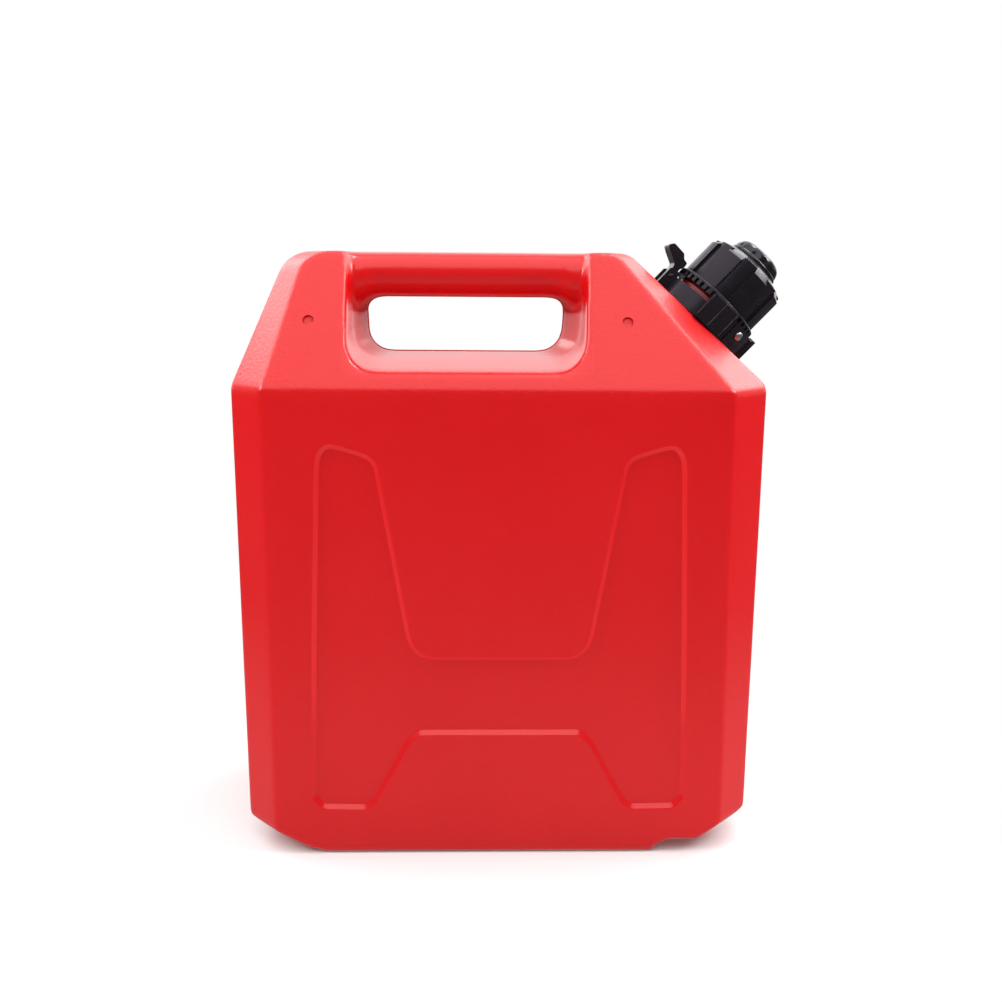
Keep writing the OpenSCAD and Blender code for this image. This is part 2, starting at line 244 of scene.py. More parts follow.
def choose(piece, kind, test):
    """Selects the vertices, edges or faces of the piece in edit mode that pass the test."""
    bpy.ops.mesh.select_mode(type={"vertices": "VERT", "edges": "EDGE", "polygons": "FACE"}[kind])
    bpy.ops.mesh.select_all(action="DESELECT")
    bpy.ops.object.mode_set(mode="OBJECT")
    for part in getattr(piece.data, kind):
        part.select = test(part)
    bpy.ops.object.mode_set(mode="EDIT")


def cut(point, normal, **options):
    """Slices all of the piece in edit mode along a plane, with bisect's own options."""
    bpy.ops.mesh.select_all(action="SELECT")
    bpy.ops.mesh.bisect(plane_co=point, plane_no=normal, **options)


def done():
    """Leaves edit mode, with nothing selected."""
    bpy.ops.object.mode_set(mode="OBJECT")
    bpy.ops.object.select_all(action="DESELECT")


def face_outwards():
    """Turns every face of the piece in edit mode outwards, and leaves edit mode."""
    bpy.ops.mesh.select_all(action="SELECT")
    bpy.ops.mesh.normals_make_consistent()
    done()


def place_in_mesh(piece):
    """Writes a piece's own place and scale into its mesh, so that its object sits at the origin."""
    pick(piece)
    bpy.ops.object.transform_apply(location=True, rotation=True, scale=True)
    bpy.ops.object.select_all(action="DESELECT")


def block(name, corner, opposite):
    """A cube between two opposite corners."""
    bpy.ops.object.select_all(action="DESELECT")
    bpy.ops.mesh.primitive_cube_add(size=1, location=(corner + opposite) / 2)
    piece = bpy.context.object
    piece.name = name
    piece.scale = [abs(length) for length in opposite - corner]
    place_in_mesh(piece)
    return piece


def round_along(piece, axis, radius, segments):
    """Rounds the edges of a block that run along one axis."""
    edit(piece)
    points = piece.data.vertices

    def runs_along(edge):
        a, b = (points[i].co for i in edge.vertices)
        return abs((b - a).normalized()[axis]) > 0.99
    choose(piece, "edges", runs_along)
    bpy.ops.mesh.bevel(offset=radius, segments=segments, affect="EDGES")
    done()


def shape_by(piece, kind, **settings):
    """Adds a modifier to a piece and applies it."""
    pick(piece)
    modifier = piece.modifiers.new(kind.lower(), kind)
    for name, value in settings.items():
        setattr(modifier, name, value)
    bpy.ops.object.modifier_apply(modifier=modifier.name)


def carve(piece, tool, operation="DIFFERENCE"):
    """Takes a tool's shape out of a piece, and removes the tool."""
    shape_by(piece, "BOOLEAN", object=tool, operation=operation, solver="EXACT")
    bpy.data.objects.remove(tool)


def weld(piece, other):
    """Makes one solid of a piece and another shape."""
    carve(piece, other, "UNION")


def join(piece, *others):
    """Puts the meshes of several pieces into the first one's object."""
    pick(piece)
    for other in others:
        other.select_set(True)
    bpy.ops.object.join()
    bpy.ops.object.select_all(action="DESELECT")


def smooth(piece, angle=40):
    """Shades a piece smooth, but for its edges above an angle in degrees."""
    pick(piece)
    bpy.ops.object.shade_smooth_by_angle(angle=radians(angle))
    bpy.ops.object.select_all(action="DESELECT")


tank = block("tank_shell", Vector((-HALF_LENGTH, -HALF_DEPTH, UNDERSIDE)) * MM,
             Vector((HALF_LENGTH, HALF_DEPTH, HEIGHT)) * MM)
slope_rise = HEIGHT - SHOULDER
planes = [((-HALF_LENGTH, 0, SHOULDER), (-slope_rise, 0, END_LEAN)),
          (NECK_FOOT / MM, (sin(NECK_LEAN), 0, cos(NECK_LEAN)))]
for side in (-1, 1):
    planes.append(((0, HALF_DEPTH * side, SHOULDER), (0, slope_rise * side, FACE_LEAN)))
    for end, corner_low, cut_high, lean in ((-1, 14.3, 21, 0.84), (1, 18, 24.5, 1.4)):
        corner = Vector(((HALF_LENGTH - cut_high) * end, HALF_DEPTH * side, SHOULDER))
        toe = Vector((TOE * end, HALF_DEPTH * side, UNDERSIDE))
        on_front = Vector(((HALF_LENGTH - CHAMFER) * end, HALF_DEPTH * side, corner_low))
        on_end = Vector((HALF_LENGTH * end, (HALF_DEPTH - CHAMFER) * side, corner_low))
        planes += [(corner, (corner - on_front).cross(on_end - on_front) * end * side),
                   (corner, (end, side, lean)),
                   (toe, (on_front - toe).cross(on_end - toe) * end * side),
                   (toe, ((corner_low - UNDERSIDE) * end, 0, TOE - HALF_LENGTH))]
edit(tank)
for point, normal in planes:
    cut(Vector(point) * MM, Vector(normal).normalized(), use_fill=True, clear_outer=True)
bpy.ops.mesh.select_all(action="SELECT")
bpy.ops.mesh.remove_doubles(threshold=0.05 * MM)
bpy.ops.mesh.delete(type="EDGE_FACE")
bpy.ops.mesh.select_all(action="SELECT")
bpy.ops.mesh.convex_hull()
bpy.ops.mesh.dissolve_limited(angle_limit=radians(0.2))

# the roof's end edges are rounded over, more at the left than above the neck
corners = tank.data.vertices
for end, beyond, radius in ((-1, 100, 12), (1, 60, 5)):
    choose(tank, "edges", lambda edge: all(
        corners[i].co.z > (HEIGHT - 2) * MM and corners[i].co.x * end > beyond * MM
        for i in edge.vertices))
    bpy.ops.mesh.bevel(offset=radius * MM, segments=5, affect="EDGES")
done()

# the foot that it stands on, and the underside that rises towards the neck's end
foot = block("foot", mm(-104, -67.5, 0), mm(93, 67.5, 6))
notch = block("notch", mm(101, -90, -10), mm(200, 90, 7.4))
edit(notch)
choose(notch, "vertices", lambda v: v.co.x < 110 * MM and v.co.z < 0)
bpy.ops.transform.translate(value=mm(-35, 0, 0))
done()
carve(tank, notch)

# the handle's opening, open at the top where the bar crosses it: narrowest on the mould's parting
# plane, it flares under the bar and then runs out to the two faces, with a floor that falls all the way
HOLE_LEFT, HOLE_RIGHT, HOLE_FLOOR, HOLE_TOP = -80, 40, 292, 359
HOLE_REACH, HOLE_CORNER, FLARE = 71, 13, 22
FLOOR_LENGTH, FLARED_LENGTH = 113.5, 137.4
hole_length, hole_height = HOLE_RIGHT - HOLE_LEFT, HOLE_TOP - HOLE_FLOOR
opening = block("opening", mm(HOLE_LEFT, -HOLE_REACH, HOLE_FLOOR),
                mm(HOLE_RIGHT, HOLE_REACH, HOLE_TOP))
edit(opening)
choose(opening, "vertices", lambda v: v.co.z < (HOLE_FLOOR + 8) * MM)
bpy.ops.transform.resize(value=(FLOOR_LENGTH / hole_length, 1, 1), center_override=mm(-34, 0, 0))
done()
round_along(opening, 1, HOLE_CORNER * MM, 8)
edit(opening)
for station in (-FLARE, 0, FLARE):
    cut(mm(0, station, 0), (0, 1, 0))
for reach, floor in ((FLARE, 289), (HOLE_REACH, 282)):
    choose(opening, "vertices", lambda v: abs(abs(v.co.y) / MM - reach) < 1)
    bpy.ops.transform.resize(value=(FLARED_LENGTH / hole_length, 1, (HOLE_TOP - floor) / hole_height),
                             center_override=mm(-29, 0, HOLE_TOP))
done()
carve(tank, opening)

# the bar, which thickens where it runs into the two shoulders
BAR_LEFT, BAR_RIGHT, BAR_HALF, BAR_UNDERSIDE, BAR_CORNER = -96, 54, 21, 324, 12
SWELL_LEFT, SWELL_RIGHT, SWELL_LENGTH = -79, 39, 6
bar = block("bar", mm(BAR_LEFT, -BAR_HALF, BAR_UNDERSIDE), mm(BAR_RIGHT, BAR_HALF, HEIGHT))
round_along(bar, 0, BAR_CORNER * MM, 8)
edit(bar)
for station in (SWELL_LEFT, SWELL_LEFT + SWELL_LENGTH, SWELL_RIGHT - SWELL_LENGTH, SWELL_RIGHT):
    cut(mm(station, 0, 0), (1, 0, 0))
choose(bar, "vertices", lambda v: not SWELL_LEFT + 0.5 < v.co.x / MM < SWELL_RIGHT - 0.5)
bpy.ops.transform.resize(value=(1, 1.2, 1.16), center_override=mm(0, 0, HEIGHT))
done()
join(tank, foot, bar)

# one skin over all of it, as soft as a blown wall, and softest round the opening and at the bar's ends
DISH_LEFT, DISH_RIGHT, DISH_FLOOR = -102, 64, 277
BAR_MIDDLE, BAR_END = -20, 56
shape_by(tank, "REMESH", mode="VOXEL", voxel_size=1.4 * MM)
shape_by(tank, "SMOOTH", factor=0.5, iterations=14)
edit(tank)
for margin in (0, 4, 8):
    choose(tank, "vertices", lambda v: margin + DISH_LEFT < v.co.x / MM < DISH_RIGHT - margin
           and v.co.z / MM > DISH_FLOOR + margin / 2)
    bpy.ops.mesh.vertices_smooth(factor=0.5, repeat=4)
choose(tank, "vertices", lambda v: abs(abs(v.co.x / MM - BAR_MIDDLE) - BAR_END) < 13
       and abs(v.co.y) < 0.03 and v.co.z > 0.316)
bpy.ops.mesh.vertices_smooth(factor=0.5, repeat=12)
done()
shape_by(tank, "DECIMATE", decimate_type="COLLAPSE", ratio=0.22)


def face_panel(side):
    """The recessed field of the front (side -1) or back (side 1), a U with soft rims."""
    half = [(46, 74.7), (52, 69.2), (72, 31.5), (78, 27.7), (103.2, 28.2), (109.9, 35.5), (106.9, 133),
            (102.8, 230), (102, 237), (99.6, 242.2), (95, 245.4), (89.5, 244.4), (76, 240.4), (71, 238),
            (67.6, 233.5), (50.7, 135), (48.4, 128.6), (43.9, 124.2), (38, 122.9)]
    rim = ((0.2, 0.04), (0.25, 0.2), (2.2, 1.75), (0.25, 0.2), (0.2, 0.04))
    proud, corner = 0.6, 2.4
    outline = half + [(-x, z) for x, z in reversed(half)]
    bpy.ops.object.select_all(action="DESELECT")
    bpy.ops.mesh.primitive_circle_add(vertices=len(outline), fill_type="NGON")
    panel = bpy.context.object
    for vertex, (x, z) in zip(panel.data.vertices, outline):
        vertex.co = Vector((x, (HALF_DEPTH + proud) * side, z)) * MM
    edit(panel)
    bpy.ops.mesh.select_all(action="SELECT")
    bpy.ops.mesh.bevel(offset=corner * MM, segments=3, affect="VERTICES")
    bpy.ops.mesh.select_all(action="SELECT")
    bpy.ops.mesh.normals_make_consistent()
    bpy.ops.mesh.select_mode(type="FACE")
    bpy.ops.mesh.select_all(action="SELECT")
    bpy.ops.mesh.extrude_region_move(TRANSFORM_OT_translate={"value": mm(0, -proud * side, 0)})
    for width, drop in rim:
        bpy.ops.mesh.inset(thickness=width * MM, depth=0)
        bpy.ops.transform.translate(value=mm(0, -drop * side, 0))
    face_outwards()
    return panel


for side in (-1, 1):
    carve(tank, face_panel(side))


def duplicate(piece, name):
    """A copy of a piece, with its own mesh."""
    pick(piece)
    bpy.ops.object.duplicate()
    copy = bpy.context.object
    copy.name = name
    return copy


# where the two mould halves close, a fine raised line runs round the shell, and a thicker lip of
# trimmed flash inside the handle's opening
seam = duplicate(tank, "mould_seam")
edit(seam)
cut((0, 0, 0), (0, 1, 0), clear_inner=True, clear_outer=True)
along_slope = Vector((cos(NECK_LEAN), 0, -sin(NECK_LEAN)))
off_slope = Vector((sin(NECK_LEAN), 0, cos(NECK_LEAN)))


def under_closure(point):
    """Whether a point lies on the slope below the catch ring."""
    from_foot = point - NECK_FOOT
    return abs(from_foot.dot(along_slope)) < 0.037 and abs(from_foot.dot(off_slope)) < 0.01


choose(seam, "vertices", lambda v: v.co.z < 0.0045 or under_closure(v.co))
bpy.ops.mesh.delete(type="VERT")
choose(seam, "vertices", lambda v: -0.09 < v.co.x < 0.05 and 0.286 < v.co.z < 0.331)
bpy.ops.mesh.separate(type="SELECTED")
done()
lip = next(o for o in bpy.data.objects if o.name.startswith("mould_seam") and o != seam)
lip.name = "opening_lip"
for line, radius, stretch in ((seam, 0.28, 1.5), (lip, 0.5, 1.8)):
    pick(line)
    bpy.ops.object.convert(target="CURVE")
    line.data.bevel_depth = radius * MM
    line.data.bevel_resolution = 2
    line.data.use_fill_caps = True
    bpy.ops.object.convert(target="MESH")
    edit(line)
    bpy.ops.mesh.select_all(action="SELECT")
    bpy.ops.transform.resize(value=(1, stretch, 1), center_override=(0, 0, 0))
    face_outwards()
    smooth(line, 60)


def drilled(radius, point, facing, length, sides=32):
    """A round drill through a point in millimetres, for a vent mark, a bore or a flute."""
    bpy.ops.object.select_all(action="DESELECT")
    bpy.ops.mesh.primitive_cylinder_add(vertices=sides, radius=radius * MM, depth=length * MM,
                                        location=Vector(point) * MM)
    drill = bpy.context.object
    drill.rotation_euler = Vector(facing).to_track_quat("Z", "Y").to_euler()
    place_in_mesh(drill)
    return drill


# two round vent marks in each sloped face
VENT_MARKS = [Vector((x, y, 310.5)) for x in (-106.5, 70.1) for y in (-47.8, 47.8)]
for mark in VENT_MARKS:
    facing = Vector((0, slope_rise * (1 if mark.y > 0 else -1), FACE_LEAN)).normalized()
    carve(tank, drilled(3.1, mark, facing, 1.2, 40))


def turned(name, outline, sides):
    """A turned piece on the Z axis, whose rings follow an outline of (radius, height) in millimetres."""
    bpy.ops.object.select_all(action="DESELECT")
    (radius, height), *others = outline
    bpy.ops.mesh.primitive_circle_add(vertices=sides, radius=radius * MM, location=mm(0, 0, height))
    piece = bpy.context.object
    piece.name = name
    place_in_mesh(piece)
    edit(piece)
    bpy.ops.mesh.select_mode(type="EDGE")
    bpy.ops.mesh.select_all(action="SELECT")
    for next_radius, next_height in others:
        grow = next_radius / radius
        bpy.ops.mesh.extrude_edges_move(
            TRANSFORM_OT_translate={"value": mm(0, 0, next_height - height)})
        bpy.ops.transform.resize(value=(grow, grow, 1), center_override=(0, 0, 0))
        radius, height = next_radius, next_height
    bpy.ops.mesh.select_all(action="SELECT")
    bpy.ops.mesh.remove_doubles(threshold=0.01 * MM)
    bpy.ops.mesh.fill_holes(sides=0)
    face_outwards()
    return piece


slanted = Matrix.Translation(NECK_FOOT) @ Matrix.Rotation(NECK_LEAN, 4, "Y")


def on_neck(piece):
    """Moves a piece made upright at the origin to the slanted neck."""
    piece.matrix_world = slanted
    place_in_mesh(piece)
    return piece


def thread(name, root, crest, lead, turns, start):
    """A helical ridge of a four-sided section, which stands a little into its cylinder."""
    bpy.ops.object.select_all(action="DESELECT")
    bpy.ops.mesh.primitive_plane_add(size=1)
    ridge = bpy.context.object
    ridge.name = name
    section = [(root, -1.2), (root, 1.2), (crest, -0.5), (crest, 0.5)]
    for corner, (radius, height) in zip(ridge.data.vertices, section):
        corner.co = Vector((radius, 0, start + height)) * MM
    edit(ridge)
    bpy.ops.mesh.select_all(action="SELECT")
    bpy.ops.mesh.delete(type="ONLY_FACE")
    done()
    steps = round(64 * turns)
    shape_by(ridge, "SCREW", angle=2 * pi * turns, screw_offset=lead * turns * MM, steps=steps,
             render_steps=steps, use_merge_vertices=False)
    edit(ridge)
    bpy.ops.mesh.select_all(action="SELECT")
    bpy.ops.mesh.fill_holes(sides=0)
    face_outwards()
    return ridge


# the boss and the threaded neck grow out of the slope in one with the shell
neck = turned("neck", [(24.6, -3), (24.6, 13.6), (24.1, 14.2), (22.4, 14.2), (22, 14.6), (22, 38.2),
                       (21.4, 39), (18, 39)], 128)
weld(neck, thread("neck_thread", root=21.6, crest=23.6, lead=6, turns=2.2, start=20))
weld(tank, on_neck(neck))
carve(tank, on_neck(turned("neck_bore", [(19.2, -14), (19.2, 38.4), (19.9, 39.2), (19.9, 42)], 128)))
smooth(tank, 35)
shape_by(tank, "WEIGHTED_NORMAL", keep_sharp=True)


def finish(name, **fixed):
    """A new plastic, rubber or metal, with the values that are the same all over it."""
    material = bpy.data.materials.new(name)
    material.use_nodes = True
    tree = material.node_tree
    shader = tree.nodes["Principled BSDF"]
    for socket, value in fixed.items():
        shader.inputs[socket.replace("_", " ").title().replace("Ior", "IOR")].default_value = value
    return material, shader, Tone(tree, tree.nodes.new("ShaderNodeTexCoord").outputs["Object"])


def feed(shader, **tones):
    """Links what changes over the surface to the shader's sockets of the same names."""
    for socket, tone in tones.items():
        tone.tree.links.new(tone.socket, shader.inputs[socket.replace("_", " ").title()])


def noise(place, size, detail=2.0, roughness=0.5):
    """Soft grey noise, with features of about the given size in metres."""
    return place.node("ShaderNodeTexNoise", {"Vector": place, "Scale": 1 / size, "Detail": detail,
                                             "Roughness": roughness})


def bumps(height, depth, strength=1.0):
    """Fine relief, as deep as the given metres where the height goes from 0 to 1."""
    return height.node("ShaderNodeBump", {"Height": height, "Distance": depth, "Strength": strength})


def coat(piece, material):
    """Gives a piece its one finish."""
    piece.data.materials.clear()
    piece.data.materials.append(material)


DEEP_RED, CLEAR_RED = (0.605, 0.0036, 0.0058, 1), (0.635, 0.0042, 0.0066, 1)
# a paler red, painted on the rims of the recessed fields as a highlight
RIM_HIGHLIGHT_RED = (0.73, 0.0095, 0.0125, 1)
BLACK, WHITE = (0, 0, 0, 1), (1, 1, 1, 1)
HOLE_MIDDLE = (-0.0185, 0, 0)
red_plastic, shader, place = finish("red_polyethylene", specular_ior_level=0.46)
cloudy = noise(place, 0.09, 3)
mottle = noise(place, 0.0042, 2)
peel = noise(place, 0.0019, 1.5)
waves = noise(place, 0.05, 1)
# the mould's grain on the sloped faces, fainter inside the handle's opening
up = place.node("ShaderNodeSeparateXYZ", {0: place}, out=2)
from_hole = place.node("ShaderNodeVectorMath", {0: place, 1: HOLE_MIDDLE}, {"operation": "SUBTRACT"})
from_hole = place.node("ShaderNodeSeparateXYZ", {0: from_hole})
handle = from_hole.math("ABSOLUTE", from_hole, 0.0).ramp(0.066, 0.07, 1, 0) * up.ramp(0.282, 0.286)
sloped = up.ramp(0.266, 0.28) * (1 - handle * 0.85)
# the vent marks' rough faces, and a few shallow pits
vents = 0
for mark in VENT_MARKS:
    gap = place.node("ShaderNodeVectorMath", {0: place, 1: mark * MM}, {"operation": "DISTANCE"}, out=1)
    vents = gap.ramp(2.7 * MM, 3.0 * MM, 1, 0) + vents
vent_grain = noise(place, 0.0011, 1)
pit_cells = place.node("ShaderNodeTexVoronoi", {"Vector": place, "Scale": 1 / 0.012})
pits = pit_cells.ramp(0.03, 0.055, 1, 0) * (noise(place, 0.03, 1) > 0.56)
# painted shade: the boss and the neck are darkened, as they lie in the shade between the ring and the
# collar
into_neck = place.node("ShaderNodeVectorMath", {0: place, 1: NECK_FOOT}, {"operation": "SUBTRACT"})
up_neck = place.node("ShaderNodeVectorMath", {0: into_neck, 1: off_slope},
                     {"operation": "DOT_PRODUCT"}, out=1)
neck_painted_shade = (1 - up_neck.ramp(0.005, 0.0085) * 0.65).blend(BLACK, WHITE)
# painted highlight: a paler red on the rims of the recessed fields, which catch more light than the flat
# faces
off_middle = place.node("ShaderNodeVectorMath", {0: place}, {"operation": "ABSOLUTE"})
sideways = place.node("ShaderNodeSeparateXYZ", {0: off_middle})
below_face = HALF_DEPTH * MM - place.node("ShaderNodeSeparateXYZ", {0: off_middle}, out=1)
rims = below_face.ramp(0, 0.3 * MM) * below_face.ramp(1.9 * MM, 2.2 * MM, 1, 0)
rims = rims * sideways.ramp(0.113, 0.114, 1, 0)
rims = rims * up.ramp(0.07, 0.1, 0.3, 1) * up.ramp(0.25, 0.251, 1, 0)
red = (cloudy * 0.7 + mottle * 0.3).ramp(0.3, 0.7).blend(DEEP_RED, CLEAR_RED)
red = rims.blend(red, RIM_HIGHLIGHT_RED)
feed(shader,
     base_color=neck_painted_shade.node("ShaderNodeMix", {0: 1.0, 6: red, 7: neck_painted_shade},
                           {"data_type": "RGBA", "blend_type": "MULTIPLY"}, out=2),
     roughness=0.15 + cloudy * 0.04 + mottle * 0.03 + sloped * 0.16,
     normal=bumps(peel * (0.1 + sloped * 0.9) * 0.34 + waves * 0.35 + vents * vent_grain * 1.2
                  - pits * 0.25, 0.0009, 0.6))
for piece in (tank, seam, lip):
    coat(piece, red_plastic)
    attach(piece, "tank")
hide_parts("tank_body")


# Catch ring: a moulded black band round the boss, lapped and riveted, with two guard blocks beside the
# ratchet teeth, a higher wall with a lug at the low end, and a pair of ears for the release lever.
def tube(name, bore, radius, low, high):
    """A plain ring between two radii and two heights."""
    return turned(name, [(bore, low), (radius, low), (radius, high), (bore, high), (bore, low)], 160)


def on_side(plate_name, outline, width, middle=0):
    """A plate square to the lever's pin, cut to an outline of (reach from the neck's axis, height)."""
    bpy.ops.object.select_all(action="DESELECT")
    bpy.ops.mesh.primitive_circle_add(vertices=len(outline), fill_type="NGON")
    plate = bpy.context.object
    plate.name = plate_name
    for corner, (reach, height) in zip(plate.data.vertices, outline):
        corner.co = Vector((-reach, middle - width / 2, height)) * MM
    edit(plate)
    bpy.ops.mesh.select_all(action="SELECT")
    bpy.ops.mesh.extrude_region_move(TRANSFORM_OT_translate={"value": mm(0, width, 0)})
    face_outwards()
    return plate


def break_edges(piece, width, segments=2):
    """The small rounding of a moulded edge, with flat faces kept flat."""
    smooth(piece, 35)
    shape_by(piece, "BEVEL", width=width * MM, segments=segments, limit_method="ANGLE",
             angle_limit=radians(35))
    smooth(piece, 35)
    shape_by(piece, "WEIGHTED_NORMAL", keep_sharp=True)


GUARD_HALF, GUARD_ROOT, GUARD_REACH, GUARD_TOP, GUARD_LEAN = 9.2, 26, 33, 17.2, 0.9
EAR_WIDTH, EAR_MIDDLE = 3.2, 10.8
ring = tube("catch_ring", 25, 31, 0, 10.4)
wall = tube("wall", 26, 31, 2, 15)
edit(wall)
cut(mm(9, 0, 0), (1, 0, 0), use_fill=True, clear_inner=True)
done()
weld(ring, wall)
for side in (-1, 1):
    guard = block("guard", mm(-GUARD_HALF, GUARD_ROOT * side, 0),
                  mm(GUARD_HALF, GUARD_REACH * side, GUARD_TOP))
    edit(guard)
    for lean in (-1, 1):
        outward = Vector((GUARD_LEAN * lean, GUARD_HALF * side, 0)).normalized()
        cut(mm(0, GUARD_REACH * side, 0), outward, use_fill=True, clear_outer=True)
    done()
    weld(ring, guard)
    ear = on_side("ear", [(26, 0), (35.6, 0), (35.6, 11.6), (34.2, 13), (29.8, 13), (28.6, 10.4),
                          (26, 10.4)], EAR_WIDTH, EAR_MIDDLE * side)
    weld(ring, ear)
weld(ring, block("lug", mm(28, -10.5, 0), mm(32.4, 10.5, 16.5)))
carve(ring, turned("teeth_room", [(29.6, 10.4), (29.6, 40)], 160))
carve(ring, block("lever_room", mm(-40, -9.2, -1), mm(-28.2, 9.2, 40)))

# the bores for the lever's pin and the rivet, and a slit at each end of the band's lap
PIVOT = (-32.4, 0, 8.5)
RIVET_TURN, RIVET_HEIGHT, LAP_TURN = radians(-52), 10, radians(14)
toward_rivet = Vector((cos(RIVET_TURN), sin(RIVET_TURN), 0))
carve(ring, drilled(1.3, PIVOT, (0, 1, 0), 40))
carve(ring, drilled(1.6, toward_rivet * 28 + Vector((0, 0, RIVET_HEIGHT)), toward_rivet, 16))
for turn, reach in ((-LAP_TURN, 30.6), (LAP_TURN, 25.4)):
    slit = block("lap_slit", mm(reach - 2.6, -0.4, -1), mm(reach + 2.6, 0.4, 40))
    slit.rotation_euler = (0, 0, RIVET_TURN + turn)
    place_in_mesh(slit)
    carve(ring, slit)
on_neck(ring)
break_edges(ring, 0.45)

black_plastic, shader, place = finish("black_polypropylene", specular_ior_level=0.27,
                                      specular_tint=(0.95, 0.84, 1, 1))
haze = noise(place, 0.018, 3)
grain = noise(place, 0.0007, 2)
rub = noise(place, 0.004, 4, 0.7)
feed(shader,
     base_color=haze.ramp(0.3, 0.75).blend((0.0085, 0.007, 0.0095, 1), (0.013, 0.0108, 0.0145, 1)),
     roughness=0.2 + haze * 0.1 + rub.ramp(0.5, 0.75) * 0.08,
     normal=bumps(grain * 0.03 + rub * 0.05, 0.0003, 0.4))
coat(ring, black_plastic)
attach(ring, "tank")
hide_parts("catch_ring")

# Guard edges: the corners and brows of the two guard blocks, moulded in one with the ring. They stand
# proud of the band, and their grey is a painted highlight along these edges.
edges = []
for side in (-1, 1):
    for x, reach in ((-8.9, 32.2), (0, 33.05), (8.9, 32.2)):
        edges.append(block("guard_edges", mm(x - 0.3, reach * side - 0.2, 1),
                           mm(x + 0.3, reach * side + 0.2, GUARD_TOP)))
    for end in (-1, 1):
        brow = block("brow", mm(0, 32.9 * side - 0.25, 16.8),
                     mm(GUARD_HALF * end, 32.9 * side + 0.25, 17.3))
        edit(brow)
        choose(brow, "vertices", lambda v: abs(v.co.x) > 5 * MM)
        bpy.ops.transform.translate(value=mm(0, -GUARD_LEAN * side, 0))
        done()
        edges.append(brow)
guard_edges = edges[0]
join(guard_edges, *edges[1:])
on_neck(guard_edges)
smooth(guard_edges, 30)
# painted highlight: a lighter grey copy of the black plastic for the edges
edge_highlight, shader, place = finish("scuffed_polypropylene", specular_ior_level=0.3)
highlight_mottle = noise(place, 0.0025, 3, 0.6)
feed(shader,
     base_color=highlight_mottle.ramp(0.3, 0.7).blend((0.02, 0.018, 0.021, 1), (0.06, 0.055, 0.06, 1)),
     roughness=0.45 + highlight_mottle * 0.2)
coat(guard_edges, edge_highlight)
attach(guard_edges, "tank")

# Rivet: a round-headed rivet of zinc-plated steel, cold headed from wire. It is set from outside through
# both ends of the band, and closes its lap.
rivet = turned("ring_rivet", [(0.3, 29.8), (1.5, 29.8), (1.5, 31.05), (2.7, 31.05), (2.75, 31.3),
                              (2.55, 31.8), (2.1, 32.2), (1.5, 32.5), (0.8, 32.66), (0.25, 32.7)], 40)
rivet.matrix_world = (Matrix.Translation(mm(0, 0, RIVET_HEIGHT))
                      @ Matrix.Rotation(RIVET_TURN, 4, "Z") @ Matrix.Rotation(pi / 2, 4, "Y"))
place_in_mesh(rivet)
on_neck(rivet)
smooth(rivet, 50)
plated_steel, shader, place = finish("plated_steel", metallic=1.0)
tarnish = noise(place, 0.0025, 4, 0.65)
drawn = place.node("ShaderNodeVectorMath", {0: place, 1: (9000, 700, 9000)}, {"operation": "MULTIPLY"})
scratches = place.node("ShaderNodeTexNoise", {"Vector": drawn, "Scale": 1.0, "Detail": 2.0})
feed(shader,
     base_color=tarnish.ramp(0.35, 0.7).blend((0.66, 0.65, 0.62, 1), (0.40, 0.385, 0.36, 1)),
     roughness=0.2 + tarnish * 0.2 + scratches * 0.08,
     normal=bumps(scratches * 0.1 + tarnish * 0.2, 0.0002, 0.4))
coat(rivet, plated_steel)
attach(rivet, "tank")
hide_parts("ring_rivet")

# Lever spring: a leaf of spring steel folded once, which sits between the band and the lever's foot. Its
# free leg bends with the foot and swings the lever back.
spring = on_side("lever_spring", [(28.25, 0.9), (28.6, 0.9), (28.75, 8.0), (30.0, 3.0), (30.25, 3.1),
                                  (29.2, 8.6), (28.9, 9.15), (28.5, 9.2), (28.25, 8.9)], 9)
on_neck(spring)
break_edges(spring, 0.08)
coat(spring, plated_steel)
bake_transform(spring)
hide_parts("lever_spring")

# Release lever: a moulded black thumb lever on a steel pin. Pressing its tab down draws the pawl out of
# the collar's teeth, against the spring behind its foot.
lever = on_side("release_lever", [(30.4, 2.2), (34.3, 2.2), (34.4, 13.2), (34.8, 14.8), (35.8, 15.9),
                                  (42, 18.7), (44.6, 20.2), (45.2, 20.9), (44.9, 21.5), (43.7, 23.3),
                                  (42.9, 23.8), (35, 23.5), (32.7, 21.2), (29.9, 20.8), (29.4, 18.8),
                                  (29.4, 17.2), (30.4, 15.6)], 16)
carve(lever, drilled(1.28, PIVOT, (0, 1, 0), 40))
on_neck(lever)
break_edges(lever, 0.4)
coat(lever, black_plastic)
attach(lever, "lever")
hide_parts("release_lever")

# Lever pin: a plain pin of blackened steel, cut from rod and rounded at both ends. It is pressed through
# the ring's two ears, and the lever turns on it.
pin = turned("lever_pin", [(0.3, -12.8), (0.8, -12.75), (1.1, -12.5), (1.2, -12.1), (1.2, 12.1),
                           (1.1, 12.5), (0.8, 12.75), (0.3, 12.8)], 32)
pin.matrix_world = Matrix.Translation(Vector(PIVOT) * MM) @ Matrix.Rotation(pi / 2, 4, "X")
place_in_mesh(pin)
on_neck(pin)
smooth(pin, 50)
black_steel, shader, place = finish("blackened_steel", metallic=1.0)
worn = noise(place, 0.0015, 3, 0.6)
feed(shader,
     base_color=worn.ramp(0.45, 0.8).blend((0.05, 0.048, 0.052, 1), (0.22, 0.21, 0.2, 1)),
     roughness=0.3 + worn * 0.2)
coat(pin, black_steel)
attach(pin, "tank")
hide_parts("lever_pin")


# Stored spout and its gasket: a moulded black tube that hangs inside the can, its flange clamped on a
# rubber ring by the collar. Only the outlet stub stands out of the collar's mouth.
def dress(node, material):
    """Puts a finish on a piece that keeps its CAD solid."""
    for held in frame["nodes"][node].material_slots:
        held.material = material


